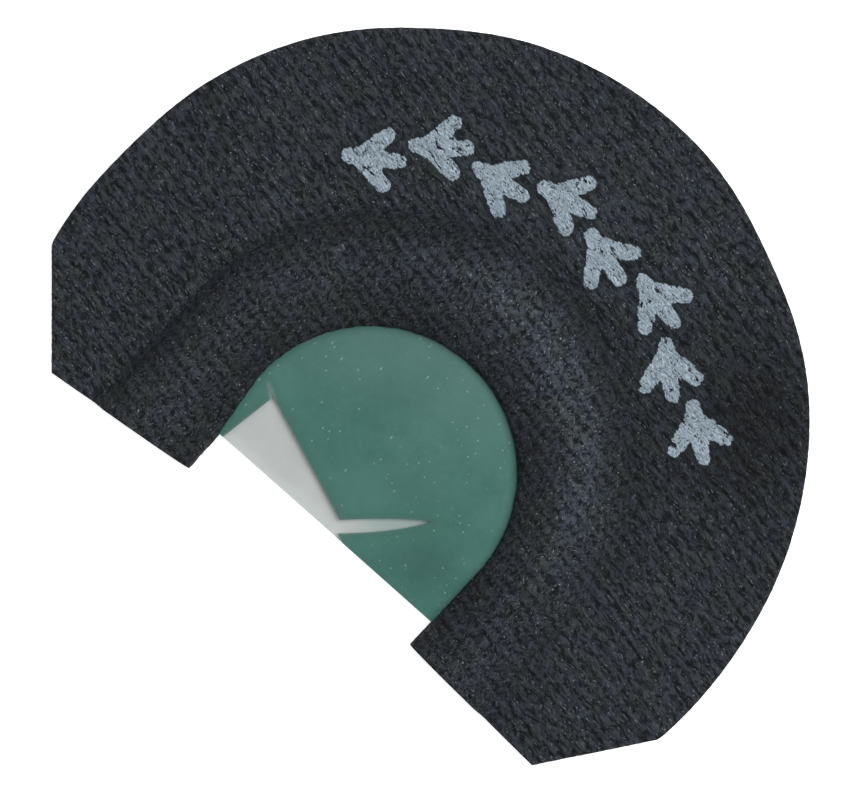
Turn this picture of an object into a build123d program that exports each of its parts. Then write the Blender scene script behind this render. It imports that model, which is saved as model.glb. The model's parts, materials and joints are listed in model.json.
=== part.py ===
from build123d import *
import os

# Diaphragm (mouth) turkey call: three latex reeds clamped in a folded aluminium horseshoe,
# sealed between two layers of woven cloth tape. Millimetres, +Z up.
# +X runs across the tape, +Y points from the open front edge to the domed back.
# The origin is the middle of the bounding box, on the plane that the call rests on.

# --- thicknesses, from the resting face up ---
TAPE_THICK = 0.40
CROWN_RISE = 0.15
LEAF_THICK = 0.40
REED_THICK = 0.12
SPACER_THICK = 0.15

LOWER_LEAF_Z = CROWN_RISE + TAPE_THICK
BOTTOM_REED_Z = LOWER_LEAF_Z + LEAF_THICK
LOWER_SPACER_Z = BOTTOM_REED_Z + REED_THICK
MIDDLE_REED_Z = LOWER_SPACER_Z + SPACER_THICK
UPPER_SPACER_Z = MIDDLE_REED_Z + REED_THICK
TOP_REED_Z = UPPER_SPACER_Z + SPACER_THICK
UPPER_LEAF_Z = TOP_REED_Z + REED_THICK
TOP_TAPE_Z = UPPER_LEAF_Z + LEAF_THICK
CALL_THICK = TOP_TAPE_Z + TAPE_THICK + CROWN_RISE
MID_Z = CALL_THICK / 2

# --- tape outline: a round dome over two legs with clipped corners ---
DOME_RADIUS = 24.35
DOME_CENTRE_Y = -6.35
SIDE_CORNER = (24.0, -11.85)
FRONT_CORNER = (19.0, -18.0)

# --- window between the legs, from its front corners to its round back ---
WINDOW_RADIUS = 9.0
WINDOW_CENTRE_Y = -10.4
LEFT_FOOT = (-8.81, -17.2)
LEFT_KNEE = (-8.70, -14.4)
RIGHT_FOOT = (8.53, -17.0)
RIGHT_KNEE = (8.70, -15.1)

# --- aluminium frame, set in the tape a little turned ---
FRAME_TURN = -3.4
FRAME_RADIUS = 14.6
FRAME_CENTRE_Y = -9.1
FRAME_FRONT = 6.8
FRAME_INNER_STEP = 0.35
FOLD_WIDTH = 5.0
FOLD_WALL = 0.4

# --- raised ring where the tape climbs over the frame: its slopes, measured off the frame's
# outer edge and off the window, and the heights at which they turn ---
RING_FOOT = 0.75
RING_SHOULDER = 0.20
RING_CREST = -1.90
INNER_SLOPE = 2.20
SHOULDER_BELOW_CREST = 0.32
INNER_EDGE_BELOW_CREST = 0.46
LIP_CLEARANCE = 0.05

# --- reeds: their outer edge, their trimmed front edge and the gap along each cut ---
REED_RADIUS = 13.9
FRONT_LEFT = (-8.70, -14.40)
FRONT_RIGHT = (8.70, -15.10)
BOTTOM_REED_SETBACK = 0.70
CUT_GAP = 0.10

# --- cuts in the top reed ---
SLIVER_FRONT = (-8.39, -14.41)
NOTCH = (-7.55, -10.62)
OVERCUT = (-8.30, -10.10)
TONGUE_ROOT_SHARE = 0.6
TONGUE_TIP = (0.40, -13.81)
SLIT_BACK_MIDDLE = (2.71, -11.81)
SLIT_END = (4.79, -10.34)
SLIT_FRONT_MIDDLE = (3.16, -12.35)
FLAP_TIP = (0.81, -14.51)
FLAP_FRONT = (1.38, -14.80)
FLAP_ROOT = (8.50, -15.10)

# --- lower reeds: the part of each that can move inside its clamped rim ---
SPAN_RADIUS = 7.6

# --- spacer strips that keep the reeds apart at the sides ---
SPACER_INNER = 0.60
SPACER_RADIUS = 13.4
SPACER_BACK_Y = -3.5

FAR = 40.0
FRONT_PAST = -24.0


def part_of_plane(points):
    """A flat face bounded by straight lines through the points."""
    return make_face(Polyline(*points, close=True))


def plate(face, low, thick):
    """The face, drawn at z = 0, as a plate from low up to low + thick."""
    return Pos(0, 0, low) * extrude(face, amount=thick, dir=(0, 0, 1))


def along(start, end, share):
    """The point a share of the way from start to end."""
    return tuple(a + (b - a) * share for a, b in zip(start, end))


def tape_outline():
    """The tape's outer edge: dome, short straight sides, clipped corners and front edges."""
    side_x, side_y = SIDE_CORNER
    front_x, front_y = FRONT_CORNER
    top = (0, DOME_CENTRE_Y + DOME_RADIUS)
    dome = ThreePointArc((-DOME_RADIUS, DOME_CENTRE_Y), top, (DOME_RADIUS, DOME_CENTRE_Y))
    front = Polyline(
        (DOME_RADIUS, DOME_CENTRE_Y),
        (side_x, side_y),
        (front_x, front_y),
        RIGHT_FOOT,
        LEFT_FOOT,
        (-front_x, front_y),
        (-side_x, side_y),
        (-DOME_RADIUS, DOME_CENTRE_Y),
    )
    return make_face(Wire(dome.edges() + front.edges()))


def window(step=0.0):
    """The opening between the legs, open past the front edge and grown by step."""
    radius = WINDOW_RADIUS + step
    back = (0, WINDOW_CENTRE_Y + radius)
    arc = ThreePointArc((-radius, WINDOW_CENTRE_Y), back, (radius, WINDOW_CENTRE_Y))
    legs = Polyline(
        (radius, WINDOW_CENTRE_Y),
        (RIGHT_KNEE[0] + step, RIGHT_KNEE[1]),
        (RIGHT_FOOT[0] + step, RIGHT_FOOT[1]),
        (RIGHT_FOOT[0] + step, FRONT_PAST),
        (LEFT_FOOT[0] - step, FRONT_PAST),
        (LEFT_FOOT[0] - step, LEFT_FOOT[1]),
        (LEFT_KNEE[0] - step, LEFT_KNEE[1]),
        (-radius, WINDOW_CENTRE_Y),
    )
    return make_face(Wire(arc.edges() + legs.edges()))


def horseshoe(radius, front):
    """A round back with straight legs, turned like the frame, before its window is cut."""
    arc = ThreePointArc((-radius, 0), (0, radius), (radius, 0))
    legs = Polyline((radius, 0), (radius, -front), (-radius, -front), (-radius, 0))
    face = make_face(Wire(arc.edges() + legs.edges()))
    return Pos(0, FRAME_CENTRE_Y) * Rot(0, 0, FRAME_TURN) * face


def leaf_outline():
    """One leaf of the frame: a round back and two legs about the window."""
    return horseshoe(FRAME_RADIUS, FRAME_FRONT) - window(FRAME_INNER_STEP)


def behind_front_edge(setback=0.0):
    """Everything behind the straight line along which the reeds are trimmed."""
    slope = (FRONT_RIGHT[1] - FRONT_LEFT[1]) / (FRONT_RIGHT[0] - FRONT_LEFT[0])
    left = FRONT_LEFT[1] + slope * (-FAR - FRONT_LEFT[0]) + setback
    right = FRONT_RIGHT[1] + slope * (FAR - FRONT_RIGHT[0]) + setback
    return part_of_plane([(-FAR, left), (FAR, right), (FAR, FAR), (-FAR, FAR)])


def reed_outline(setback=0.0):
    """One whole reed: round at the back, clamped on three sides, trimmed at the front."""
    return horseshoe(REED_RADIUS, FRAME_FRONT) & behind_front_edge(setback)


def span_outline(step=0.0):
    """The middle of a lower reed, which moves, grown by step."""
    radius = SPAN_RADIUS + step
    arc = ThreePointArc((-radius, 0), (0, radius), (radius, 0))
    legs = Polyline((radius, 0), (radius, -FAR), (-radius, -FAR), (-radius, 0))
    return Pos(0, WINDOW_CENTRE_Y) * make_face(Wire(arc.edges() + legs.edges()))


def tongue_outline(step=0.0):
    """The V of the top reed between its two cuts, with its root moved forward by step."""
    left = along(OVERCUT, NOTCH, TONGUE_ROOT_SHARE)
    slit = ThreePointArc(TONGUE_TIP, SLIT_BACK_MIDDLE, SLIT_END)
    rest = Polyline(SLIT_END, left, TONGUE_TIP)
    face = make_face(Wire(slit.edges() + rest.edges()))
    return face & part_of_plane(
        [(-FAR, -FAR), (FAR, -FAR), (FAR, SLIT_END[1] - step), (-FAR, SLIT_END[1] - step)]
    )


def slit_and_offcut():
    """What the cuts take out of the top reed: the slit and the triangle left of the tongue."""
    back = ThreePointArc(TONGUE_TIP, SLIT_BACK_MIDDLE, SLIT_END)
    front = ThreePointArc(SLIT_END, SLIT_FRONT_MIDDLE, FLAP_TIP)
    offcut = Polyline(
        FLAP_TIP,
        FLAP_FRONT,
        (FLAP_FRONT[0], FRONT_PAST),
        (SLIVER_FRONT[0], FRONT_PAST),
        SLIVER_FRONT,
        NOTCH,
        OVERCUT,
        TONGUE_TIP,
    )
    return make_face(Wire(back.edges() + front.edges() + offcut.edges()))


def flap_outline(step=0.0):
    """The corner of the top reed right of the slit, with its root moved off the hinge by step."""
    front = ThreePointArc(SLIT_END, SLIT_FRONT_MIDDLE, FLAP_TIP)
    rest = Polyline(
        FLAP_TIP, FLAP_FRONT, (FLAP_FRONT[0], FRONT_PAST), (FLAP_ROOT[0], FRONT_PAST), FLAP_ROOT, SLIT_END
    )
    face = make_face(Wire(front.edges() + rest.edges())) & behind_front_edge()
    return face & (Pos(-step, 0) * face) if step else face


def make_ring():
    """The raised ring: a steep foot, a gentle outer slope to the crest and a slope to the window."""
    levels = [
        (RING_FOOT, MID_Z + TAPE_THICK),
        (RING_SHOULDER, CALL_THICK - SHOULDER_BELOW_CREST),
        (RING_CREST, CALL_THICK),
    ]
    outer = [
        Pos(0, 0, height) * horseshoe(FRAME_RADIUS + step, FRAME_FRONT + step).face()
        for step, height in levels
    ]
    slope = [
        Pos(0, 0, CALL_THICK - INNER_EDGE_BELOW_CREST) * window(),
        Pos(0, 0, CALL_THICK) * window(INNER_SLOPE),
    ]
    return loft(outer, ruled=True) - loft(slope, ruled=True)


def make_tape():
    """The upper tape: a flat skirt, the ring raised over the frame, and the window through both."""
    outline = tape_outline()
    skirt = plate(outline, MID_Z, TAPE_THICK)
    ring = make_ring() & plate(outline, 0, CALL_THICK)
    over_leaf = plate(leaf_outline(), 0, TOP_TAPE_Z)
    over_reeds = plate(window(FRAME_INNER_STEP), 0, UPPER_LEAF_Z + LIP_CLEARANCE)
    return skirt + ring - over_leaf - over_reeds - plate(window(), 0, CALL_THICK)


def make_frame():
    """One horseshoe strip folded over at the back: two leaves joined by a narrow fold."""
    lower = plate(leaf_outline(), LOWER_LEAF_Z, LEAF_THICK)
    upper = plate(leaf_outline(), UPPER_LEAF_Z, LEAF_THICK)
    edge = horseshoe(FRAME_RADIUS, FRAME_FRONT) - horseshoe(FRAME_RADIUS - FOLD_WALL, FRAME_FRONT)
    strip = Rectangle(FOLD_WIDTH, FRAME_RADIUS, align=(Align.CENTER, Align.MIN))
    fold = plate(edge & strip, BOTTOM_REED_Z, UPPER_LEAF_Z - BOTTOM_REED_Z)
    return lower + fold + upper


def make_top_reed():
    """The top reed without its tongue and flap: the clamped rim, the back and the left sliver."""
    moving = tongue_outline() + flap_outline()
    return plate(reed_outline() - slit_and_offcut() - moving, TOP_REED_Z, REED_THICK)


def make_lower_reed(low, setback):
    """A lower reed as its clamped rim and the span that moves inside it."""
    outline = reed_outline(setback)
    rim = plate(outline - span_outline(CUT_GAP), low, REED_THICK)
    span = plate(outline & span_outline(), low, REED_THICK)
    return rim, span


def make_spacers(low):
    """A pair of thin strips, left and right, between two reeds in the clamped legs."""
    ring = (horseshoe(SPACER_RADIUS, FRAME_FRONT) - window(SPACER_INNER)) & behind_front_edge()
    left = part_of_plane([(-FAR, -FAR), (0, -FAR), (0, SPACER_BACK_Y), (-FAR, SPACER_BACK_Y)])
    right = mirror(left, about=Plane.YZ)
    return plate(ring & left, low, SPACER_THICK), plate(ring & right, low, SPACER_THICK)


def build():
    """Every piece by its node name."""
    top_tape = make_tape()
    middle_rim, middle_span = make_lower_reed(MIDDLE_REED_Z, 0)
    bottom_rim, bottom_span = make_lower_reed(BOTTOM_REED_Z, BOTTOM_REED_SETBACK)
    upper_left, upper_right = make_spacers(UPPER_SPACER_Z)
    lower_left, lower_right = make_spacers(LOWER_SPACER_Z)
    return {
        "top_tape": top_tape,
        "bottom_tape": mirror(top_tape, about=Plane.XY.offset(MID_Z)),
        "frame": make_frame(),
        "top_reed": make_top_reed(),
        "top_reed_tongue": plate(tongue_outline(CUT_GAP), TOP_REED_Z, REED_THICK),
        "top_reed_flap": plate(flap_outline(CUT_GAP), TOP_REED_Z, REED_THICK),
        "middle_reed_rim": middle_rim,
        "middle_reed_span": middle_span,
        "bottom_reed_rim": bottom_rim,
        "bottom_reed_span": bottom_span,
        "upper_spacer_left": upper_left,
        "upper_spacer_right": upper_right,
        "lower_spacer_left": lower_left,
        "lower_spacer_right": lower_right,
    }


os.makedirs("parts", exist_ok=True)
for node, shape in build().items():
    export_step(shape, f"parts/{node}.step")
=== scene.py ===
import json
import math

import bpy
import numpy as np
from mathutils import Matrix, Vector
from mathutils.geometry import delaunay_2d_cdt

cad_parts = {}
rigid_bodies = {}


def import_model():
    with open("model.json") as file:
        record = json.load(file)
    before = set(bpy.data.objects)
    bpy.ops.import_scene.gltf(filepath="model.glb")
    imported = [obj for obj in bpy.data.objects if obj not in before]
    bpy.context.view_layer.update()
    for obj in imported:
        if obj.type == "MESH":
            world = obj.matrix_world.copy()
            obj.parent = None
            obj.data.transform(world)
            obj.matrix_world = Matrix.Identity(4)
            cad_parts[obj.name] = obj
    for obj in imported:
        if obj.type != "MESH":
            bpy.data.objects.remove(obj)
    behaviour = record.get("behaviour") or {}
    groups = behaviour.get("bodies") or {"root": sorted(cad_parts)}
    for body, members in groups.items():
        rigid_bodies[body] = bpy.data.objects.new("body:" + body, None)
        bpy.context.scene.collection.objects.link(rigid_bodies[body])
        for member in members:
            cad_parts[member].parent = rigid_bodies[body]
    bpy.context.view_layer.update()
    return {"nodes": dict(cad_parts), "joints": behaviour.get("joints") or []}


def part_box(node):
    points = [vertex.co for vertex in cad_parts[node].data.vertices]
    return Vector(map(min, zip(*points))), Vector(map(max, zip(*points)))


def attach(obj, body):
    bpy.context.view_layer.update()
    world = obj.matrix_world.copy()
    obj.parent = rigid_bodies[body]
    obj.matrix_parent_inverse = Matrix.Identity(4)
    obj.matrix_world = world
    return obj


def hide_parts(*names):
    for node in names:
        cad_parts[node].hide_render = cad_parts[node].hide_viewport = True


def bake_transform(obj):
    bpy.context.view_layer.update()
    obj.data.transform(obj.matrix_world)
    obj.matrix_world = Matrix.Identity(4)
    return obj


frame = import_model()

MM = 0.001

# ---------------------------------------------------------------- the call's plan, in millimetres
TAPE_LOW, TAPE_HIGH = (np.array(corner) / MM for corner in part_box("top_tape"))
REED_LOW, REED_HIGH = (np.array(corner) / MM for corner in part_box("top_reed"))
MIDDLE_LOW, MIDDLE_HIGH = (np.array(corner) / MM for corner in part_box("middle_reed_rim"))
BOTTOM_LOW, BOTTOM_HIGH = (np.array(corner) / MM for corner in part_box("bottom_reed_rim"))
JOINTS = {joint["name"]: joint for joint in frame["joints"]}

DOME_RADIUS = TAPE_HIGH[0]
DOME_CENTRE = np.array([0.0, TAPE_HIGH[1] - DOME_RADIUS])
SIDE_CORNER = np.array([24.0, -11.85])
FRONT_CORNER = np.array([19.0, TAPE_LOW[1]])

# The shallow flats left on the dome: middle angle from +Y in degrees, depth, spread in degrees.
TRIM_FLATS = ((-84, 0.17, 11), (-37, 0.20, 11), (26, 0.31, 12))
# Past this angle from +Y, in degrees, the dome swells towards the side corners.
SWELL_START = 82
SWELL_POWER = 1.6

WINDOW_RADIUS = 9.0
WINDOW_CENTRE = np.array([0.0, -10.4])
LEFT_FOOT = np.array([-8.81, -17.2])
LEFT_KNEE = np.array([-8.70, -14.4])
RIGHT_FOOT = np.array([8.53, -17.0])
RIGHT_KNEE = np.array([8.70, -15.1])

FRAME_TURN = math.radians(-3.4)
FRAME_RADIUS = 14.6
FRAME_CENTRE = np.array([0.0, -9.1])
FRAME_FRONT = 6.8
REED_RADIUS = 13.9
# How far the reeds' straight front edge reaches to each side.
REED_SIDE = 12.5
# Farther than any distance that matters here.
FAR = 9.0

# Heights, and the relief of the tape.
MID_Z = TAPE_LOW[2]
CREST_Z = TAPE_HIGH[2]
TAPE_THICK = 0.40
SKIRT_Z = MID_Z + TAPE_THICK
LEAF_TOP_Z = (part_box("frame")[1] / MM)[2]
SHOULDER_RISE = 0.74
# Where the ring's shoulder and crown start and end, measured inwards from the frame's edge.
SHOULDER_REACH = (-0.75, 0.30)
CROWN_REACH = (-0.20, 2.40)
# The groove pressed round the ring: depth, distance outside the frame's edge, width.
GROOVE_DEPTH, GROOVE_AT, GROOVE_WIDTH = 0.12, 0.95, 0.60
# The fall from the ring to the window, and the thinner lip at the cut itself.
SLOPE_DROP, SLOPE_REACH, SLOPE_POWER = 0.50, 2.6, 1.6
LIP_DROP, LIP_REACH = 0.25, 0.22
# Low lumps in the cloth: their height, then the size, share and seed of each kind.
LUMP_HEIGHT = 0.034
LUMPS = ((1.3, 0.6, 11), (0.62, 0.4, 12))
# The skirt's slow waves: where they start and are full, then height, size and seed of each.
SKIRT_FREE = (0.5, 9.0)
SKIRT_WAVES = ((0.22, 13.0, 3), (0.05, 5.0, 4))

# ---------------------------------------------------------------- small helpers


def smoothstep(value, low, high):
    """0 below low, 1 above high, smooth between."""
    share = np.clip((value - low) / (high - low), 0, 1)
    return share * share * (3 - 2 * share)


def hump(value, centre, width):
    """1 at the centre, falling smoothly to 0 either side."""
    return np.exp(-(((value - centre) / width) ** 2))


def spot(plan, centre, size):
    """1 at the centre, falling smoothly to 0 all round."""
    return np.exp(-(((plan - np.array(centre)) / np.array(size)) ** 2).sum(1))


def turned(points, angle):
    """Plan points turned about the origin."""
    c, s = math.cos(angle), math.sin(angle)
    return points @ np.array([[c, s], [-s, c]])


def lattice_noise(points, size, seed):
    """Smooth value noise from -1 to 1 with features of about size, over plan or space points."""
    points = np.asarray(points, float) / size + 64.0
    cell = np.floor(points).astype(np.int64)
    share = points - cell
    share = share * share * (3 - 2 * share)
    total = np.zeros(len(points))
    dims = points.shape[1]
    primes = np.array([73856093, 19349663, 83492791][:dims], np.uint64)
    for corner in range(2 ** dims):
        steps = np.array([(corner >> axis) & 1 for axis in range(dims)])
        weight = np.prod(np.where(steps, share, 1 - share), axis=1)
        key = (cell + steps).astype(np.uint64) @ primes
        key = (key ^ np.uint64(seed * 2654435761 % 2 ** 32)) * np.uint64(6364136223846793005)
        key = (key ^ (key >> np.uint64(29))) * np.uint64(1442695040888963407)
        total += weight * ((key >> np.uint64(40)).astype(float) / 2 ** 23 - 1)
    return total


def path_points(corners, count):
    """count + 1 points evenly along straight runs through the corners."""
    corners = np.array(corners, float)
    runs = np.linalg.norm(np.diff(corners, axis=0), axis=1)
    marks = np.concatenate([[0], np.cumsum(runs)])
    at = np.linspace(0, marks[-1], count + 1)
    return np.stack([np.interp(at, marks, corners[:, axis]) for axis in (0, 1)], axis=1)


def arc_points(centre, radius, start, end, count):
    """count + 1 points along an arc between two angles in degrees."""
    angle = np.radians(np.linspace(start, end, count + 1))
    return centre + radius * np.stack([np.cos(angle), np.sin(angle)], axis=1)


def softened(points, passes):
    """A path with its corners rounded by averaging neighbours a few times over, its ends kept."""
    soft = points.copy()
    for _ in range(passes):
        soft[1:-1] = (soft[:-2] + 2 * soft[1:-1] + soft[2:]) / 4
    return soft


def mesh_object(name, points_mm, faces, smooth=True):
    """A mesh object in metres from points in millimetres."""
    mesh = bpy.data.meshes.new(name)
    mesh.from_pydata((np.asarray(points_mm) * MM).tolist(), [], faces)
    mesh.update()
    made = bpy.data.objects.new(name, mesh)
    bpy.context.scene.collection.objects.link(made)
    if smooth:
        mesh.polygons.foreach_set("use_smooth", [True] * len(mesh.polygons))
    return made


def add_attribute(piece, name, values):
    """A number at each of the piece's points, for its material to read."""
    layer = piece.data.attributes.new(name, "FLOAT", "POINT")
    layer.data.foreach_set("value", np.asarray(values, np.float32))


def grid_faces(rows, columns, start=0, flip=False):
    """Quads over a grid of points held row by row."""
    index = start + np.arange(rows * columns).reshape(rows, columns)
    quads = np.stack([index[:-1, :-1], index[:-1, 1:], index[1:, 1:], index[1:, :-1]], axis=-1)
    quads = quads.reshape(-1, 4)
    return (quads[:, ::-1] if flip else quads).tolist()


# ---------------------------------------------------------------- distances in plan


def past_frame(plan):
    """How far outside the frame's outer edge each point is; negative over the frame."""
    local = turned(plan - FRAME_CENTRE, -FRAME_TURN)
    round_part = np.hypot(local[:, 0], local[:, 1]) - FRAME_RADIUS
    leg_part = np.abs(local[:, 0]) - FRAME_RADIUS
    return np.where(local[:, 1] > 0, round_part, leg_part)


def past_frame_front(plan):
    """How far in front of the frame's leg ends each point is."""
    return -turned(plan - FRAME_CENTRE, -FRAME_TURN)[:, 1] - FRAME_FRONT


def past_window(plan):
    """How far outside the window's edge each point is."""
    x, y = plan[:, 0], plan[:, 1]
    back = np.hypot(x, y - WINDOW_CENTRE[1]) - WINDOW_RADIUS
    left_y = [LEFT_FOOT[1], LEFT_KNEE[1], WINDOW_CENTRE[1]]
    left = -x - np.interp(y, left_y, [-LEFT_FOOT[0], -LEFT_KNEE[0], WINDOW_RADIUS])
    right_y = [RIGHT_FOOT[1], RIGHT_KNEE[1], WINDOW_CENTRE[1]]
    right = x - np.interp(y, right_y, [RIGHT_FOOT[0], RIGHT_KNEE[0], WINDOW_RADIUS])
    legs = np.where(x < 0, left, right)
    return np.where(y > WINDOW_CENTRE[1], back, legs)


# ---------------------------------------------------------------- cloth tape

LEG_COLUMNS = 76
DOME_COLUMNS = 440
TAPE_ROWS = 104
INSIDE_ROWS = 52
# Over 1, so that rows lie closer together towards the window.
ROW_CROWDING = 1.12
CORNER_PASSES = 4
# How deep and how coarse the fraying of each cut edge is.
WINDOW_FRAY = (0.030, 0.22)
OUTER_FRAY = (0.012, 0.12)
OUTER_SEED_STEP = 5
# How far the corners of the cut edges are worn down, and over how many rows.
WORN_DROP, WORN_ROWS = 0.05, 1.2


def dome_edge(count):
    """The cut edge from the left side corner over the dome to the right one: nearly a circle, swelling
    towards the corners, with the shallow flats that hand trimming leaves."""
    corner = math.degrees(math.atan2(SIDE_CORNER[0], SIDE_CORNER[1] - DOME_CENTRE[1]))
    swell = np.linalg.norm(SIDE_CORNER - DOME_CENTRE) - DOME_RADIUS
    angle = np.linspace(-corner, corner, count + 1)
    swollen = np.clip((np.abs(angle) - SWELL_START) / (corner - SWELL_START), 0, 1)
    radius = DOME_RADIUS + swell * swollen ** SWELL_POWER
    for middle, depth, spread in TRIM_FLATS:
        radius -= depth * hump(angle, middle, spread)
    turn = np.radians(angle)
    return DOME_CENTRE + radius[:, None] * np.stack([np.sin(turn), np.cos(turn)], axis=1)


def tape_plan(seed):
    """Plan points of the tape from the window's edge (row 0) to the outer edge, as rows x columns."""
    mirror = np.array([-1, 1])
    left = path_points([LEFT_FOOT, LEFT_KNEE, WINDOW_CENTRE - [WINDOW_RADIUS, 0]], LEG_COLUMNS)
    right = path_points([WINDOW_CENTRE + [WINDOW_RADIUS, 0], RIGHT_KNEE, RIGHT_FOOT], LEG_COLUMNS)
    back = arc_points(WINDOW_CENTRE, WINDOW_RADIUS, 180, 0, DOME_COLUMNS)
    inner = np.concatenate([left[:-1], back, right[1:]])
    left_side = path_points([FRONT_CORNER * mirror, SIDE_CORNER * mirror], LEG_COLUMNS)
    right_side = left_side[::-1] * mirror
    outer = np.concatenate([left_side[:-1], dome_edge(DOME_COLUMNS), right_side[1:]])
    outer = softened(outer, CORNER_PASSES)
    # The window's edge is cut through the weave and left ragged; the outer edge is a cleaner cut.
    inner = ragged(inner, *WINDOW_FRAY, seed)
    outer = ragged(outer, *OUTER_FRAY, seed + OUTER_SEED_STEP)
    shares = (np.linspace(0, 1, TAPE_ROWS + 1) ** ROW_CROWDING)[:, None, None]
    return inner[None] * (1 - shares) + outer[None] * shares


def ragged(edge, depth, size, seed):
    """An edge pushed in and out across itself by fine noise and, less, by coarser noise."""
    along = np.gradient(edge, axis=0)
    along /= np.linalg.norm(along, axis=1)[:, None]
    across = np.stack([-along[:, 1], along[:, 0]], axis=1)
    push = lattice_noise(edge, size, seed) + 0.6 * lattice_noise(edge, size * 3, seed + 1)
    return edge + across * (depth * push)[:, None]


def skirt_wave(plan):
    """The slow rise and fall of the free skirt, in both tapes alike."""
    free = smoothstep(past_frame(plan), *SKIRT_FREE)
    wave = sum(height * lattice_noise(plan, size, seed) for height, size, seed in SKIRT_WAVES)
    return free * wave


def tape_top(plan):
    """Height of the upper tape's face over the skirt, the ring and the slope to the window."""
    outside = past_frame(plan)
    in_window = past_window(plan)
    shoulder = SHOULDER_RISE * smoothstep(-outside, *SHOULDER_REACH)
    crown = (CREST_Z - SKIRT_Z - SHOULDER_RISE - LUMP_HEIGHT) * smoothstep(-outside, *CROWN_REACH)
    groove = GROOVE_DEPTH * hump(outside, GROOVE_AT, GROOVE_WIDTH)
    slope = SLOPE_DROP * (1 - np.clip(in_window / SLOPE_REACH, 0, 1)) ** SLOPE_POWER
    slope += LIP_DROP * np.exp(-np.maximum(in_window, 0) / LIP_REACH)
    lumps = LUMP_HEIGHT * sum(share * lattice_noise(plan, size, seed) for size, share, seed in LUMPS)
    return SKIRT_Z + shoulder + crown - groove - slope + lumps


# How light the cloth is before painted shade darkens it or a painted highlight lightens it.
TONE = 0.62
# Round the frame, from +Y in radians: where the painted shade in the groove is darkest and how widely, where
# the side that faces away from the light begins and is full, and where the painted highlight on the crest lies
# and how widely.
GROOVE_SHADE_DARKEST = (math.radians(10), 0.42)
FAR_SIDE = (0.10, 0.45)
CREST_HIGHLIGHT = (math.radians(28), 0.72)
# The painted dark band of shade lies this far outside the frame's edge, and nearer by the shift on the far
# side.
BAND_AT, BAND_SHIFT, BAND_WIDTH = 0.45, 0.85, 0.95
# Where the painted highlight along the crest lies against the frame's edge, and how wide it is.
CREST_AT, CREST_WIDTH = -2.4, 1.1
# A painted shade on the skirt: centre and size.
SKIRT_SHADE_AT, SKIRT_SHADE_SIZE = (16.5, 6.5), (5.5, 7.0)


def painted_tape_light(plan):
    """How light the cloth is: painted shade in the groove, on the slope beside the window and on one place of
    the skirt, a painted highlight along the ring's crest, and a slow random drift."""
    outside = past_frame(plan)
    in_window = past_window(plan)
    local = plan - FRAME_CENTRE
    angle = np.arctan2(local[:, 0], local[:, 1])
    far_side = smoothstep(-angle, *FAR_SIDE)
    # Painted shade in the groove and on the slope to the window, a painted highlight on the crest, painted
    # shade on the skirt.
    groove_shade = 0.05 + 0.17 * hump(angle, *GROOVE_SHADE_DARKEST) + 0.14 * far_side
    groove = groove_shade * hump(outside + BAND_SHIFT * far_side, BAND_AT, BAND_WIDTH)
    slope = 0.20 * (1 - smoothstep(in_window, 0.5, 3.1))
    crest_highlight = 0.72 * hump(outside, CREST_AT, CREST_WIDTH) * hump(angle, *CREST_HIGHLIGHT)
    skirt_shade = 0.34 * spot(plan, SKIRT_SHADE_AT, SKIRT_SHADE_SIZE)
    drift = 0.06 * lattice_noise(plan, 4.0, 9)
    return np.clip(TONE - groove - slope + crest_highlight - skirt_shade + drift, 0.1, 1)


# Where the hidden face comes down past the frame, and rises from the reed to the leaf, with its gaps.
FRAME_FADE, LEAF_FADE = (0.0, 0.30), (0.10, 0.40)
REED_GAP, LEAF_GAP = 0.05, 0.01


def tape_inside(plan):
    """Height of the same tape's hidden face: the middle plane, lifted over the frame's leaf."""
    over_frame = 1 - smoothstep(past_frame(plan), *FRAME_FADE)
    over_frame *= 1 - smoothstep(past_frame_front(plan), *FRAME_FADE)
    over_leaf = smoothstep(past_window(plan), *LEAF_FADE)
    lip = REED_HIGH[2] + REED_GAP
    lifted = lip + (LEAF_TOP_Z + LEAF_GAP - lip) * over_leaf
    return MID_Z + (lifted - MID_Z) * over_frame


def make_tape(name, side, seed):
    """One tape layer as a closed sheet: its face, its hidden face and the walls of its cut edges.
    side is 1 for the upper tape and -1 for the lower one, which is the same shape turned over."""
    grid = tape_plan(seed)
    rows, columns = grid.shape[:2]
    plan = grid.reshape(-1, 2)
    face_z = tape_top(plan) + skirt_wave(plan) * side
    edge = np.minimum(np.linspace(0, 1, rows), np.linspace(1, 0, rows))
    edge = edge[:, None].repeat(columns, 1).ravel()
    face_z -= WORN_DROP * np.exp(-edge * rows / WORN_ROWS)
    pick = np.unique(np.linspace(0, rows - 1, INSIDE_ROWS).round().astype(int))
    inside_plan = grid[pick].reshape(-1, 2)
    inside_z = tape_inside(inside_plan) + skirt_wave(inside_plan) * side
    top = np.column_stack([plan, face_z])
    low = np.column_stack([inside_plan, inside_z])
    if side < 0:
        top[:, 2] = 2 * MID_Z - top[:, 2]
        low[:, 2] = 2 * MID_Z - low[:, 2]
    count = rows * columns
    faces = grid_faces(rows, columns, flip=side > 0)
    faces += grid_faces(len(pick), columns, count, flip=side < 0)
    faces += tape_walls(rows, columns, pick, count, side)
    tape = mesh_object(name, np.concatenate([top, low]), faces)
    return tape, np.concatenate([plan, inside_plan])


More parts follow.
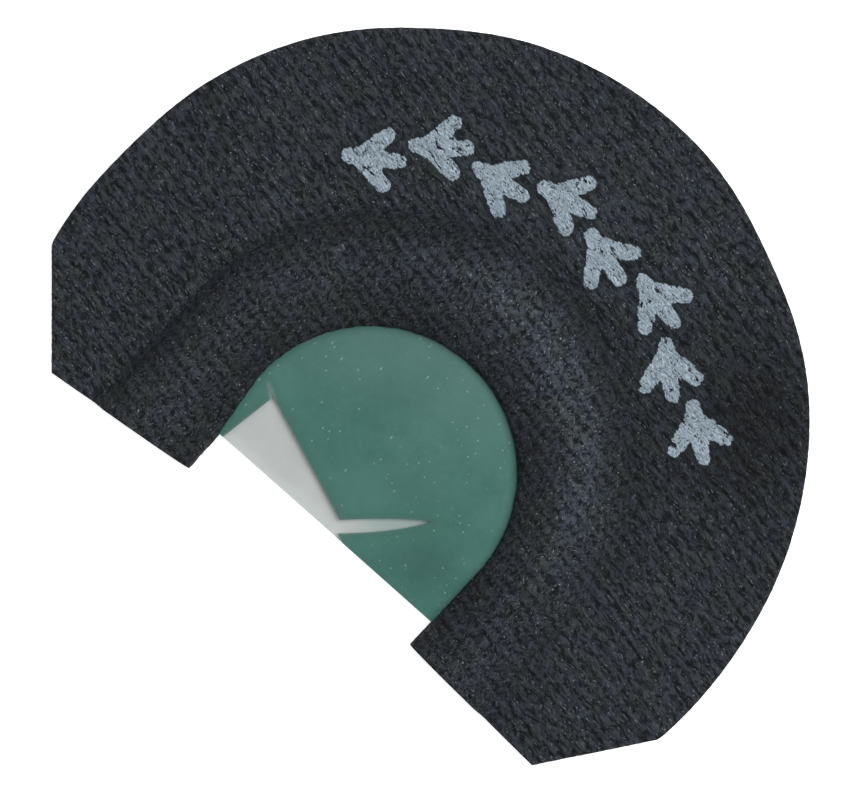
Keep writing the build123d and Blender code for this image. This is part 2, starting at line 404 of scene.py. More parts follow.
def tape_walls(rows, columns, pick, start, side):
    """Walls between the two faces along the window, the outer edge and both front edges."""
    walls = []
    last = start + (len(pick) - 1) * columns
    for column in range(columns - 1):
        near = [column, column + 1, start + column + 1, start + column]
        far = (rows - 1) * columns + column
        out = [far + 1, far, last + column, last + column + 1]
        walls += [near, out]
    for column, order in ((0, 1), (columns - 1, -1)):
        for upper, lower in zip(range(len(pick) - 1), range(1, len(pick))):
            chain = [row * columns + column for row in range(pick[upper], pick[lower] + 1)]
            wall = chain + [start + lower * columns + column, start + upper * columns + column]
            walls.append(wall[::-order])
    return [wall[::-1] for wall in walls] if side < 0 else walls


# ---------------------------------------------------------------- print on the skirt

PRINT_RADIUS = 18.75
PRINT_START, PRINT_END = -41.5, 46.0
PRINT_COUNT = 8
# Left and right feet step aside by this much, and point outwards by this many degrees.
SIDE_STEP = 0.50
POINT_OUT = 8
STROKE = 0.57
STROKE_TAPER = 0.22
HEEL = np.array([0.0, -0.75])
# Three toes forward and one back: angle in degrees and length.
TOES = ((-44, 2.25), (0, 2.45), (44, 2.25), (186, 0.75))


def segment_distance(points, start, end):
    """Distance from each point to a straight stroke, and how far along it the nearest place is, 0 to 1."""
    run = np.array(end, float) - start
    share = np.clip(((points - start) @ run) / (run @ run), 0, 1)
    return np.linalg.norm(points - (start + share[:, None] * run), axis=1), share


def track_shape(local):
    """Signed distance, positive inside, of one bird's footprint."""
    best = np.full(len(local), -FAR)
    for angle, length in TOES:
        turn = math.radians(angle)
        tip = HEEL + length * np.array([math.sin(turn), math.cos(turn)])
        away, share = segment_distance(local, HEEL, tip)
        width = STROKE * (1.0 - STROKE_TAPER * share ** 2)
        best = np.maximum(best, width - away)
    return best


def print_shape(plan):
    """Signed distance of the whole print: footprints that walk along an arc about the frame's centre."""
    best = np.full(len(plan), -FAR)
    for step, angle in enumerate(np.linspace(PRINT_START, PRINT_END, PRINT_COUNT)):
        turn = math.radians(angle)
        foot = 1 if step % 2 else -1
        radius = PRINT_RADIUS + SIDE_STEP * foot
        centre = FRAME_CENTRE + radius * np.array([math.sin(turn), math.cos(turn)])
        heading = -turn - math.radians(90) + math.radians(POINT_OUT * foot)
        local = turned(plan - centre, -heading)
        best = np.maximum(best, track_shape(local))
    return best


# ---------------------------------------------------------------- materials


class Nodes:
    """Adds shader nodes and links them in one call each."""

    def __init__(self, name):
        self.material = bpy.data.materials.new(name)
        self.material.use_nodes = True
        self.tree = self.material.node_tree
        self.shader = self.tree.nodes["Principled BSDF"]

    def add(self, kind, settings=None, **inputs):
        node = self.tree.nodes.new(kind)
        for key, value in (settings or {}).items():
            setattr(node, key, value)
        for key, value in inputs.items():
            self.feed(node.inputs[key.replace("_", " ")], value)
        return node

    def feed(self, socket, value):
        if hasattr(value, "is_output"):
            self.tree.links.new(value, socket)
        else:
            socket.default_value = value

    def math(self, operation, *values):
        node = self.tree.nodes.new("ShaderNodeMath")
        node.operation = operation
        for socket, value in zip(node.inputs, values):
            self.feed(socket, value)
        return node.outputs[0]

    def mix(self, share, low, high):
        node = self.tree.nodes.new("ShaderNodeMix")
        node.data_type = "RGBA"
        self.feed(node.inputs["Factor"], share)
        self.feed(node.inputs["A"], low)
        self.feed(node.inputs["B"], high)
        return node.outputs["Result"]

    def step(self, value, low, high):
        """0 below low, 1 above high."""
        node = self.tree.nodes.new("ShaderNodeMapRange")
        node.interpolation_type = "SMOOTHSTEP"
        self.feed(node.inputs["Value"], value)
        self.feed(node.inputs["From Min"], low)
        self.feed(node.inputs["From Max"], high)
        return node.outputs["Result"]

    def noise(self, vector, scale, detail=2.0, roughness=0.5):
        node = self.add("ShaderNodeTexNoise", Vector=vector, Scale=scale, Detail=detail, Roughness=roughness)
        return node.outputs["Fac"]

    def attribute(self, name):
        return self.add("ShaderNodeAttribute", {"attribute_name": name}).outputs["Fac"]

    def set(self, **inputs):
        for key, value in inputs.items():
            self.feed(self.shader.inputs[key.replace("_", " ")], value)


def millimetres(nodes, turn=0.0):
    """The object's own coordinates in millimetres, turned about Z."""
    place = nodes.add("ShaderNodeTexCoord").outputs["Object"]
    rotation = (0, 0, math.radians(turn))
    node = nodes.add("ShaderNodeMapping", Vector=place, Scale=(1 / MM,) * 3, Rotation=rotation)
    return node.outputs["Vector"]


RIB_PITCH = 0.735
WEAVE_TURN = 12.75
# Blue-black and olive-black cloth, first in painted shade between the threads and then in painted light where
# the threads are lit.
CLOTH_SHADED = ((0.0090, 0.0115, 0.0160, 1), (0.0090, 0.0115, 0.0130, 1))
CLOTH_LIT = ((0.096, 0.114, 0.150, 1), (0.098, 0.116, 0.124, 1))
# A painted glint on single fibres, and painted shade in the pits between threads.
FIBRE_GLINT = (0.370, 0.420, 0.480, 1)
PIT_SHADE = (0.004, 0.005, 0.006, 1)
UNLIT = (0.002, 0.002, 0.002, 1)
LINT = (0.34, 0.37, 0.38, 1)
INK_FILM = (0.020, 0.027, 0.034, 1)
# The ink where it is worn thin and where it is full, and with a painted glint where a fibre catches the light.
INK = ((0.190, 0.262, 0.322, 1), (0.62, 0.74, 0.84, 1))
INK_GLINT = (0.64, 0.72, 0.78, 1)


def fibre_cells(nodes, vector, along, share, across):
    """Small stretched cells of the weave: how near each point is to its cell's middle line, and the
    cell's own random number. Cells lie along the ribs, or across them where share is high."""
    middles, picks = [], []
    for scale in (along, across):
        stretched = nodes.add("ShaderNodeMapping", Vector=vector, Scale=(*scale, scale[1]))
        cells = nodes.add("ShaderNodeTexVoronoi", Vector=stretched.outputs["Vector"], Scale=1.0)
        middles.append(nodes.math("SUBTRACT", 1.0, nodes.step(cells.outputs["Distance"], 0.10, 0.42)))
        picks.append(nodes.add("ShaderNodeSeparateXYZ", Vector=cells.outputs["Color"]).outputs["X"])
    crossed = nodes.math("GREATER_THAN", share, 0.45)
    blended = []
    for first, second in (middles, picks):
        kept = nodes.math("MULTIPLY", first, nodes.math("SUBTRACT", 1.0, crossed))
        blended.append(nodes.math("ADD", kept, nodes.math("MULTIPLY", second, crossed)))
    return blended


def tape_material():
    """Near-black cloth tape: broken ridges along the weave, painted light and shade on the threads, painted
    glints on fibres and painted shade in pits, patches of blue-black and olive-black, sparse lint, and the worn
    pale ink."""
    nodes = Nodes("tape_cloth")
    vector = millimetres(nodes, WEAVE_TURN)
    drift = nodes.add("ShaderNodeTexNoise", Vector=vector, Scale=1.3, Detail=3.0)
    moved = nodes.add("ShaderNodeVectorMath", {"operation": "MULTIPLY_ADD"})
    nodes.feed(moved.inputs[0], drift.outputs["Color"])
    moved.inputs[1].default_value = (0.9, 0.42, 0.0)
    nodes.feed(moved.inputs[2], vector)
    moved = moved.outputs[0]
    split = nodes.add("ShaderNodeSeparateXYZ", Vector=moved)
    rib = nodes.math("SINE", nodes.math("MULTIPLY", split.outputs["Y"], 2 * math.pi / RIB_PITCH))
    long_way = nodes.add("ShaderNodeMapping", Vector=moved, Scale=(1.9, 4.3, 4.3)).outputs["Vector"]
    ridge = nodes.noise(long_way, 1.0, 2.5, 0.60)
    cross_way = nodes.add("ShaderNodeMapping", Vector=moved, Scale=(5.2, 2.9, 2.9)).outputs["Vector"]
    thread = nodes.noise(cross_way, 1.0, 2.0, 0.6)
    share = nodes.attribute("cross_share")
    body = nodes.math("ADD", nodes.math("MULTIPLY", ridge, nodes.math("SUBTRACT", 1.0, share)),
                      nodes.math("MULTIPLY", thread, share))
    fine_way = nodes.add("ShaderNodeMapping", Vector=moved, Scale=(6.0, 11.0, 11.0)).outputs["Vector"]
    fuzz = nodes.noise(fine_way, 1.0, 3.0, 0.75)
    height = nodes.math("ADD", nodes.math("MULTIPLY", body, 1.05), nodes.math("MULTIPLY", fuzz, 0.55))
    height = nodes.math("ADD", height, nodes.math("MULTIPLY", rib, 0.05))
    patch = nodes.step(nodes.noise(vector, 0.62, 3.0, 0.6), 0.42, 0.60)
    # Painted shade in the low parts of the weave and painted light on its high parts.
    lit = nodes.step(height, 0.62, 0.98)
    dark = nodes.mix(patch, *CLOTH_SHADED)
    pale = nodes.mix(patch, *CLOTH_LIT)
    cloth = nodes.mix(lit, dark, pale)
    # Painted glints: short pale dashes where single fibres catch the light; and painted shade in dark pits
    # between threads.
    dash, pick = fibre_cells(nodes, moved, (3.8, 8.8), share, (9.2, 4.4))
    glint = nodes.math("MULTIPLY", dash, nodes.step(pick, 0.52, 0.98))
    pit = nodes.math("MULTIPLY", dash, nodes.step(pick, 0.34, 0.16))
    cloth = nodes.mix(nodes.math("MULTIPLY", glint, 0.90), cloth, FIBRE_GLINT)
    cloth = nodes.mix(nodes.math("MULTIPLY", pit, 0.80), cloth, PIT_SHADE)
    height = nodes.math("ADD", height, nodes.math("MULTIPLY", nodes.math("SUBTRACT", glint, pit), 0.16))
    # Painted shade and painted highlight: where the attribute is low the cloth is darkened towards black.
    cloth = nodes.mix(nodes.attribute("tone_and_painted_light"), UNLIT, cloth)
    # Lint: a few specks far lighter than the thread.
    cells = nodes.add("ShaderNodeTexVoronoi", Vector=vector, Scale=1.9)
    chosen = nodes.add("ShaderNodeSeparateXYZ", Vector=cells.outputs["Color"]).outputs["X"]
    speck = nodes.math("SUBTRACT", 1.0, nodes.step(cells.outputs["Distance"], 0.05, 0.13))
    lint = nodes.math("MULTIPLY", speck, nodes.step(chosen, 0.80, 0.95))
    cloth = nodes.mix(nodes.math("MULTIPLY", lint, 0.75), cloth, LINT)
    # Ink: a faint film about each stroke, and the stroke broken by dark gaps along the ridges.
    edge = nodes.attribute("print_edge")
    film = nodes.math("MULTIPLY", nodes.step(edge, -0.42, -0.05), 0.55)
    cloth = nodes.mix(film, cloth, INK_FILM)
    rough_edge = nodes.math("ADD", edge, nodes.math("MULTIPLY", nodes.math("SUBTRACT", body, 0.5), 0.50))
    printed = nodes.step(rough_edge, -0.03, 0.05)
    wear = nodes.noise(vector, 1.15, 2.0, 0.6)
    held = nodes.math("ADD", height, nodes.math("MULTIPLY", wear, 0.45))
    unbroken = nodes.math("SUBTRACT", 1.0, nodes.math("MULTIPLY", dash, nodes.step(pick, 0.37, 0.29)))
    ink = nodes.math("MULTIPLY", printed, nodes.step(held, 0.84, 0.92))
    ink = nodes.math("MULTIPLY", ink, unbroken)
    ink_colour = nodes.mix(nodes.step(fuzz, 0.30, 0.72), *INK)
    # A painted glint on the ink where a fibre catches the light.
    ink_colour = nodes.mix(nodes.math("MULTIPLY", glint, 0.5), ink_colour, INK_GLINT)
    cloth = nodes.mix(ink, cloth, ink_colour)
    nodes.set(Base_Color=cloth, Roughness=0.60, Specular_IOR_Level=0.16)
    bump = nodes.add("ShaderNodeBump", Height=height, Strength=1.0, Distance=0.42 * MM)
    nodes.set(Normal=bump.outputs["Normal"])
    return nodes.material


GREEN_LATEX = {
    "deep": (0.037, 0.140, 0.114, 1),
    "light": (0.062, 0.178, 0.154, 1),
    "wash_and_slit_light": (0.125, 0.215, 0.205, 1),
    "edge": (0.070, 0.205, 0.165, 1),
    "scratch": (0.26, 0.42, 0.37, 1),
    "dust": (0.40, 0.52, 0.48, 1),
}
# On the white latex this colour is painted green light that falls through the slit.
WHITE_LATEX = {
    "deep": (0.510, 0.535, 0.525, 1),
    "light": (0.555, 0.585, 0.575, 1),
    "wash_and_slit_light": (0.300, 0.420, 0.395, 1),
    "edge": (0.55, 0.59, 0.575, 1),
    "scratch": (0.55, 0.59, 0.575, 1),
    "dust": (0.66, 0.70, 0.69, 1),
}
SHADED = 0.55


def latex_material(name, colours, roughness):
    """Stretched latex: cloudy colour with a paler wash, painted green light from the slit and painted shade,
    its cuts and a scratch in colours of their own, and fine dust and a few hairs on its face."""
    nodes = Nodes(name)
    vector = millimetres(nodes)
    cloud = nodes.noise(vector, 0.30, 3.0, 0.55)
    fine = nodes.noise(vector, 2.4, 2.0, 0.6)
    share = nodes.math("ADD", nodes.math("MULTIPLY", cloud, 0.85), nodes.math("MULTIPLY", fine, 0.15))
    colour = nodes.mix(nodes.step(share, 0.30, 0.70), colours["deep"], colours["light"])
    colour = nodes.mix(nodes.attribute("wash_and_slit_light"), colour, colours["wash_and_slit_light"])
    shaded = tuple(SHADED * channel for channel in colours["deep"][:3]) + (1,)
    colour = nodes.mix(nodes.attribute("shade"), colour, shaded)
    colour = nodes.mix(nodes.attribute("cut_edge"), colour, colours["edge"])
    colour = nodes.mix(nodes.attribute("scratch"), colour, colours["scratch"])
    grain = nodes.noise(vector, 9.0, 2.0, 0.7)
    colour = nodes.mix(nodes.math("MULTIPLY", nodes.step(grain, 0.58, 0.85), 0.16), colour, colours["dust"])
    cells = nodes.add("ShaderNodeTexVoronoi", Vector=vector, Scale=2.0)
    chosen = nodes.add("ShaderNodeSeparateXYZ", Vector=cells.outputs["Color"]).outputs["X"]
    crowd = nodes.math("SUBTRACT", 0.68, nodes.math("MULTIPLY", nodes.attribute("dusty"), 0.50))
    speck = nodes.math("SUBTRACT", 1.0, nodes.step(cells.outputs["Distance"], 0.04, 0.15))
    dust = nodes.math("MULTIPLY", speck, nodes.math("GREATER_THAN", chosen, crowd))
    # A few specks are short hairs.
    slanted = nodes.add("ShaderNodeMapping", Vector=vector, Scale=(2.6, 0.9, 1.0), Rotation=(0, 0, 0.9))
    hairs = nodes.add("ShaderNodeTexVoronoi", Vector=slanted.outputs["Vector"], Scale=1.0)
    lone = nodes.add("ShaderNodeSeparateXYZ", Vector=hairs.outputs["Color"]).outputs["X"]
    hair = nodes.math("SUBTRACT", 1.0, nodes.step(hairs.outputs["Distance"], 0.05, 0.15))
    hair = nodes.math("MULTIPLY", hair, nodes.math("GREATER_THAN", lone, 0.80))
    dust = nodes.math("MAXIMUM", dust, hair)
    colour = nodes.mix(nodes.math("MULTIPLY", dust, 0.50), colour, colours["dust"])
    ripple = nodes.noise(vector, 0.8, 2.0)
    relief = nodes.math("ADD", ripple, nodes.math("MULTIPLY", dust, 0.5))
    bump = nodes.add("ShaderNodeBump", Height=relief, Strength=0.25, Distance=0.05 * MM)
    nodes.set(Base_Color=colour, Roughness=roughness, Specular_IOR_Level=0.30)
    nodes.set(Normal=bump.outputs["Normal"])
    return nodes


def top_reed_material():
    """Green latex, a little see-through."""
    nodes = latex_material("green_latex", GREEN_LATEX, roughness=0.46)
    nodes.set(Alpha=nodes.math("SUBTRACT", 0.93, nodes.math("MULTIPLY", nodes.attribute("rim"), 0.45)))
    return nodes.material


def lower_reed_material():
    """Milky white latex that scatters light a little."""
    nodes = latex_material("white_latex", WHITE_LATEX, roughness=0.44)
    nodes.set(Alpha=0.88)
    nodes.set(Subsurface_Weight=0.25, Subsurface_Radius=(1, 1, 1), Subsurface_Scale=0.3 * MM)
    return nodes.material


def metal_material():
    """Thin aluminium with fine rolling lines."""
    nodes = Nodes("aluminium_sheet")
    vector = millimetres(nodes, FRAME_TURN)
    lines = nodes.add("ShaderNodeMapping", Vector=vector, Scale=(0.8, 14.0, 14.0)).outputs["Vector"]
    streak = nodes.noise(lines, 1.0, 3.0)
    nodes.set(Base_Color=nodes.mix(streak, (0.62, 0.63, 0.64, 1), (0.78, 0.79, 0.80, 1)), Metallic=1.0)
    nodes.set(Roughness=nodes.step(streak, -0.6, 2.2))
    return nodes.material


def spacer_material():
    """Milky plastic film with a little scuffing."""
    nodes = Nodes("spacer_film")
    scuff = nodes.noise(millimetres(nodes), 1.4, 4.0)
    nodes.set(Base_Color=nodes.mix(scuff, (0.60, 0.60, 0.57, 1), (0.76, 0.76, 0.72, 1)), Roughness=0.55)
    return nodes.material


# ---------------------------------------------------------------- reeds

FRONT_LEFT = np.array([-8.70, -14.40])
FRONT_RIGHT = np.array([8.70, -15.10])
SLIVER_FRONT = np.array([-8.39, -14.41])
NOTCH = np.array([-7.55, -10.62])
OVERCUT = np.array([-8.30, -10.10])
TONGUE_TIP = np.array([0.40, -13.81])
SLIT_BACK_MIDDLE = np.array([2.71, -11.81])
SLIT_END = np.array([4.79, -10.34])
SLIT_FRONT_MIDDLE = np.array([3.16, -12.35])
FLAP_TIP = np.array([0.81, -14.51])
FLAP_FRONT = np.array([1.38, -14.80])
FLAP_ROOT = np.array([8.50, -15.10])


BACK_COLUMNS = 64
SLIT_COLUMNS = 14
SHEET_SPACING = 0.24
# Rows of points inside a sheet lie in triangles, and no nearer to its outline than a share of the spacing.
ROW_STEP, MARGIN = 0.866, 0.45
JOIN_WITHIN = 1e-7


def three_point_curve(start, middle, end, count):
    """A smooth curve through three points, start and end included."""
    share = np.linspace(0, 1, count + 1)[:, None]
    lift = 2 * (middle - (start + end) / 2)
    return start + (end - start) * share + lift * 2 * share * (1 - share)


def front_edge_y(x):
    """Where the straight front edge of the reeds lies."""
    slope = (FRONT_RIGHT[1] - FRONT_LEFT[1]) / (FRONT_RIGHT[0] - FRONT_LEFT[0])
    return FRONT_LEFT[1] + slope * (x - FRONT_LEFT[0])


def reed_back():
    """The hidden round edge of a reed, from the right leg round the back to the left leg."""
    arc = arc_points(np.zeros(2), REED_RADIUS, 0, 180, BACK_COLUMNS)
    return turned(arc, FRAME_TURN) + FRAME_CENTRE


def filled_sheet(name, outline, low, thick, spacing):
    """A thin closed sheet over a plan outline, with points inside it about spacing apart."""
    outline = densified(outline, spacing)
    low_corner, high_corner = outline.min(0), outline.max(0)
    xs = np.arange(low_corner[0], high_corner[0], spacing)
    ys = np.arange(low_corner[1], high_corner[1], spacing * ROW_STEP)
    grid = np.array([(x + (row % 2) * spacing / 2, y) for row, y in enumerate(ys) for x in xs])
    grid = grid[inside(grid, outline, spacing * MARGIN)]
    points = np.concatenate([outline, grid])
    border = [(i, (i + 1) % len(outline)) for i in range(len(outline))]
    made, _, faces, *_ = delaunay_2d_cdt([tuple(p) for p in points], border, [], 1, JOIN_WITHIN)
    plan = np.array([tuple(p) for p in made])
    faces = [list(face) for face in faces]
    count = len(plan)
    top = np.column_stack([plan, np.full(count, low + thick)])
    under = np.column_stack([plan, np.full(count, low)])
    sides = border_loop(faces)
    all_faces = faces + [[i + count for i in reversed(face)] for face in faces]
    all_faces += [[a, a + count, b + count, b] for a, b in sides]
    sheet = mesh_object(name, np.concatenate([top, under]), all_faces, smooth=False)
    return sheet, np.concatenate([plan, plan])


def border_loop(faces):
    """The directed edges that only one face uses."""
    used = {(face[i], face[(i + 1) % len(face)]) for face in faces for i in range(len(face))}
    return [(a, b) for a, b in used if (b, a) not in used]


def densified(outline, spacing):
    """The outline with points about spacing apart along its longer runs."""
    made = []
    for start, end in zip(outline, np.roll(outline, -1, axis=0)):
        steps = max(1, int(round(np.linalg.norm(end - start) / spacing)))
        made += [start + (end - start) * i / steps for i in range(steps)]
    return np.array(made)


def inside(points, outline, margin):
    """True for points inside the outline and at least margin from it."""
    x, y = points[:, 0], points[:, 1]
    within = np.zeros(len(points), bool)
    near = np.full(len(points), FAR)
    for start, end in zip(outline, np.roll(outline, -1, axis=0)):
        if start[1] != end[1]:
            crosses = (start[1] > y) != (end[1] > y)
            at = start[0] + (y - start[1]) * (end[0] - start[0]) / (end[1] - start[1])
            within ^= crosses & (x < at)
        near = np.minimum(near, segment_distance(points, start, end)[0])
    return within & (near > margin)


def paint_latex(sheet, plan, cuts, wash_and_slit_light, painted_shadows=()):
    """Marks the latex's cuts, painted shade, dust, and a wash with painted slit light. Gives each point's
    distance to a cut.
    """
    near = np.full(len(plan), FAR)
    for line in cuts:
        for start, end in zip(line[:-1], line[1:]):
            near = np.minimum(near, segment_distance(plan, start, end)[0])
    add_attribute(sheet, "cut_edge", 0.75 * np.exp(-near / 0.9))
    # Painted shade: the tape's shade on the latex beside the window's edge, and painted shadows at the given
    # places.
    shade = 0.55 * smoothstep(past_window(plan), -0.55, 0.05)
    for centre, size, depth in painted_shadows:
        shade += depth * spot(plan, centre, size)
    add_attribute(sheet, "shade", np.clip(shade, 0, 1))
    add_attribute(sheet, "dusty", smoothstep(plan[:, 0], -3.0, 8.0))
    add_attribute(sheet, "wash_and_slit_light", wash_and_slit_light)
    return near


# The tongue starts this far along the overcut, from its far end.
ROOT_SHARE = 0.6
TONGUE_ROOT = OVERCUT + (NOTCH - OVERCUT) * ROOT_SHARE
SLIT_BACK = three_point_curve(TONGUE_TIP, SLIT_BACK_MIDDLE, SLIT_END, SLIT_COLUMNS)
SLIT_FRONT = three_point_curve(SLIT_END, SLIT_FRONT_MIDDLE, FLAP_TIP, SLIT_COLUMNS)
# Painted green light falls through the slit from here to its end.
SLIT_MOUTH = SLIT_BACK[5]
LEFT_CUT = np.array([OVERCUT, TONGUE_ROOT, TONGUE_TIP])
# Painted shadows on the green latex: centre, size and depth.
PAINTED_SHADOWS = (((5.8, -12.5), (2.2, 1.7), 0.50), ((3.2, -9.6), (2.6, 1.3), 0.25))


def make_top_reed(material):
    """The green reed in three sheets that meet along the two lines where it bends."""
    low, thick = REED_LOW[2], REED_HIGH[2] - REED_LOW[2]
    leg_right = np.array([REED_SIDE, front_edge_y(REED_SIDE)])
    leg_left = np.array([-REED_SIDE, front_edge_y(-REED_SIDE)])
    cut_side = [leg_left, SLIVER_FRONT, NOTCH, OVERCUT, TONGUE_ROOT, SLIT_END, FLAP_ROOT]
    main = np.concatenate([[leg_right], reed_back(), cut_side])
    tongue = np.concatenate([[TONGUE_ROOT], SLIT_BACK])
    flap_front = np.array([FLAP_FRONT[0], front_edge_y(FLAP_FRONT[0])])
    flap = np.concatenate([SLIT_FRONT, [flap_front, FLAP_ROOT]])
    outlines = {"top_reed_sheet": main, "top_reed_tongue_sheet": tongue, "top_reed_flap_sheet": flap}
    cuts = (LEFT_CUT, SLIT_BACK, SLIT_FRONT, np.array([NOTCH, SLIVER_FRONT]))
    pieces = {}
    for name, outline in outlines.items():
        sheet, plan = filled_sheet(name, outline, low, thick, SHEET_SPACING)
        # A paler wash over the green reed towards its back and left.
        wash_and_slit_light = 0.42 * smoothstep(plan[:, 1] - 0.35 * plan[:, 0], -11.0, 1.5)
        near = paint_latex(sheet, plan, cuts, wash_and_slit_light, PAINTED_SHADOWS)
        add_attribute(sheet, "rim", np.exp(-near / 0.30))
        scratch, along = segment_distance(plan, NOTCH, OVERCUT)
        add_attribute(sheet, "scratch", (0.95 - 0.5 * along) * hump(scratch, 0, 0.13))
        sheet.data.materials.append(material)
        pieces[name] = sheet
    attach(pieces["top_reed_sheet"], "mount")
    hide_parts("top_reed")
    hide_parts("top_reed_tongue")
    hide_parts("top_reed_flap")
    bend_across(pieces["top_reed_tongue_sheet"], "tongue_lift")
    bend_across(pieces["top_reed_flap_sheet"], "flap_lift")


def bend_across(sheet, joint_name):
    """Works out which way the sheet lies from the joint's axis, then fixes the sheet's place into its points.
    """
    joint = JOINTS[joint_name]
    pivot = np.array(joint["pos_m"])
    axis = np.array(joint["axis"])
    forward = np.cross(axis, [0, 0, 1.0])
    centre = np.mean([v.co for v in sheet.data.vertices], axis=0)
    if (centre - pivot) @ forward < 0:
        forward = -forward
    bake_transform(sheet)


SIDES = {"left": -1, "right": 1}
LOWER_SPACING = 0.6
FRONT_COLUMNS = 40
# Points of the round edge nearer than this to the hinge line are left out.
HINGE_MARGIN = 0.1
# Size and seed of the uneven cut of a lower reed's front edge.
FRONT_CUT = (2.1, 21)
# Width of the painted green light about the slit on the middle reed.
SLIT_LIGHT_WIDTH = 1.1


def lower_reed_outlines(hinge_y, setback, wave):
    """Outlines of a lower reed's back and of the two halves of its front, all anticlockwise."""
    reach = np.sqrt(REED_RADIUS ** 2 - (hinge_y - FRAME_CENTRE[1]) ** 2)
    rim = reed_back()
    behind = rim[rim[:, 1] > hinge_y + HINGE_MARGIN]
    outlines = {"back": np.concatenate([[[reach, hinge_y]], behind, [[-reach, hinge_y]]])}
    xs = np.linspace(0, REED_SIDE, FRONT_COLUMNS)
    for word, side in SIDES.items():
        edge = rim[(rim[:, 1] < hinge_y - HINGE_MARGIN) & (rim[:, 0] * side > 0)]
        edge = edge[np.argsort(-edge[:, 1])]
        front = np.column_stack([xs * side, front_edge_y(xs * side) + setback])
        front[:, 1] += wave * lattice_noise(front, *FRONT_CUT)
        outlines[word] = np.concatenate([[[0, hinge_y], [reach * side, hinge_y]], edge, front[::-1]])
    return {word: outline[::-1] if polygon_area(outline) < 0 else outline for word, outline in outlines.items()}


def make_lower_reed(name, box, joint_name, setback, wave, slit_light, material):
    """A white reed: its back rides on the frame, and the two halves of its front are fixed where they are made."""
    joint = JOINTS[joint_name]
    low, thick = box[0][2], box[1][2] - box[0][2]
    ends = np.array([-REED_SIDE, REED_SIDE])
    front_line = np.column_stack([ends, front_edge_y(ends) + setback])
    for word, outline in lower_reed_outlines(joint["pos_m"][1] / MM, setback, wave).items():
        sheet, plan = filled_sheet(f"{name}_{word}_sheet", outline, low, thick, LOWER_SPACING)
        # Only the upper face, which is the first half of the points, takes the painted green light from the
        # slit.
        painted_slit_light = slit_light * hump(segment_distance(plan, SLIT_MOUTH, SLIT_END)[0], 0, SLIT_LIGHT_WIDTH)
        painted_slit_light[len(painted_slit_light) // 2:] = 0
        paint_latex(sheet, plan, (front_line,), painted_slit_light)
        sheet.data.materials.append(material)
        if word == "back":
            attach(sheet, joint["parent"])
            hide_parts(f"{name}_rim")
        else:
            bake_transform(sheet)
            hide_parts(f"{name}_span")


def polygon_area(outline):
    """The outline's area, positive when it runs anticlockwise."""
    x, y = outline[:, 0], outline[:, 1]
    return 0.5 * np.sum(x * np.roll(y, -1) - y * np.roll(x, -1))


# ---------------------------------------------------------------- stage, light and camera

WORLD_LIGHT = 0.41
FLOOR_SIZE = 1.2
FLOOR_GLOW = 0.75
# Name, azimuth in the picture from its right side anticlockwise, height, power, size.
LAMPS = (("key", 14, 0.30, 1.45, 0.30), ("fill", 165, 0.30, 0.10, 0.25))
LAMP_REACH = 0.26
CAMERA_TURN = math.radians(39.25)
PHOTO_WIDTH_MM = 51.6
CAMERA_LENS = 100.0
SENSOR = 36.0
CAMERA_AIM = np.array([-0.40, -4.95])


def make_stage():
    """A plain white floor that glows a little, as a light table does, so shadows on it stay faint."""
    bpy.ops.mesh.primitive_plane_add(size=FLOOR_SIZE, location=(0, 0, 0))
    floor = bpy.context.object
    floor.name = "studio_floor"
    nodes = Nodes("studio_floor")
    nodes.set(Base_Color=(0.80, 0.80, 0.80, 1), Roughness=0.9, Specular_IOR_Level=0.1)
    nodes.set(Emission_Color=(1, 1, 1, 1), Emission_Strength=FLOOR_GLOW)
    floor.data.materials.append(nodes.material)


def make_light():
    """An even white surround and two soft boxes, the stronger one low on the right."""
    world = bpy.data.worlds.new("studio")
    bpy.context.scene.world = world
    world.use_nodes = True
    world.node_tree.nodes["Background"].inputs["Color"].default_value = (1, 1, 1, 1)
    world.node_tree.nodes["Background"].inputs["Strength"].default_value = WORLD_LIGHT
    for name, azimuth, height, power, size in LAMPS:
        turn = math.radians(azimuth) + CAMERA_TURN
        lamp = bpy.data.lights.new(name, "AREA")
        lamp.energy = power
        lamp.size = size
        box = bpy.data.objects.new(name, lamp)
        box.location = (LAMP_REACH * math.cos(turn), LAMP_REACH * math.sin(turn), height)
        aim = -np.array(box.location)
        box.rotation_mode = "QUATERNION"
        box.rotation_quaternion = Vector(aim).to_track_quat("-Z", "Y")
        bpy.context.scene.collection.objects.link(box)


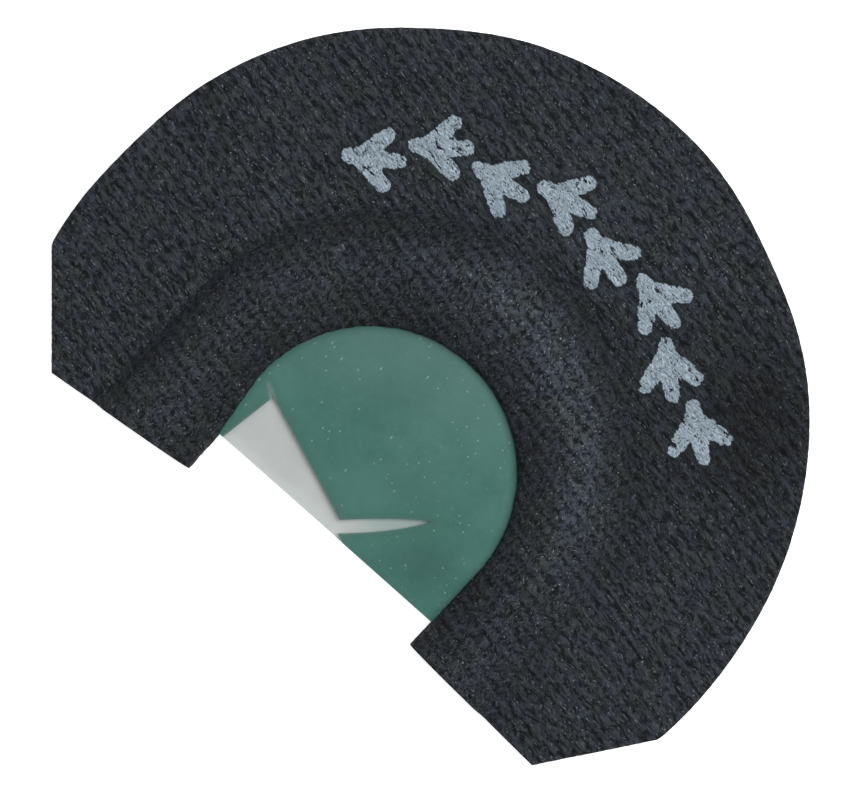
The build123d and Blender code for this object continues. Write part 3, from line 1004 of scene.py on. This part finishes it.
def make_camera():
    """Looks straight down, turned as the call lies in the picture."""
    data = bpy.data.cameras.new("camera")
    data.lens = CAMERA_LENS
    data.sensor_width = SENSOR
    data.clip_start = 0.005
    camera = bpy.data.objects.new("camera", data)
    distance = PHOTO_WIDTH_MM * MM * CAMERA_LENS / SENSOR
    camera.location = (CAMERA_AIM[0] * MM, CAMERA_AIM[1] * MM, distance + SKIRT_Z * MM)
    camera.rotation_euler = (0, 0, CAMERA_TURN)
    bpy.context.scene.collection.objects.link(camera)
    bpy.context.scene.camera = camera
    bpy.context.scene.view_settings.view_transform = "Standard"


# ---------------------------------------------------------------- putting it together


# Name, node, side and seed.
TAPES = (("upper_tape_cloth", "top_tape", 1, 31), ("lower_tape_cloth", "bottom_tape", -1, 57))


def build():
    """Makes every piece, and puts the tapes, the green reed's main sheet and the white reeds' backs on the
    bodies they move with.
    """
    cloth = tape_material()
    for name, node, side, seed in TAPES:
        tape, plan = make_tape(name, side, seed)
        add_attribute(tape, "print_edge", print_shape(plan) if side > 0 else np.full(len(plan), -FAR))
        # Painted shade and painted highlight on the cloth, with a slow random drift.
        add_attribute(tape, "tone_and_painted_light", painted_tape_light(plan))
        # Over the ring the cross threads show more than the ribs do.
        crossed = 1 - smoothstep(past_frame(plan), -0.5, 1.5)
        add_attribute(tape, "cross_share", 0.15 + 0.60 * crossed)
        tape.data.materials.append(cloth)
        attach(tape, "mount")
        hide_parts(node)
    green = top_reed_material()
    white = lower_reed_material()
    make_top_reed(green)
    make_lower_reed("middle_reed", (MIDDLE_LOW, MIDDLE_HIGH), "middle_reed_bow",
                    setback=0.0, wave=0.0, slit_light=0.75, material=white)
    make_lower_reed("bottom_reed", (BOTTOM_LOW, BOTTOM_HIGH), "bottom_reed_bow",
                    setback=0.60, wave=0.22, slit_light=0.0, material=white)
    finishes = {"frame": metal_material(), "spacer": spacer_material()}
    for name, node in frame["nodes"].items():
        for word, material in finishes.items():
            if word in name and not node.hide_render:
                node.data.materials.clear()
                node.data.materials.append(material)
    make_stage()
    make_light()
    make_camera()


build()
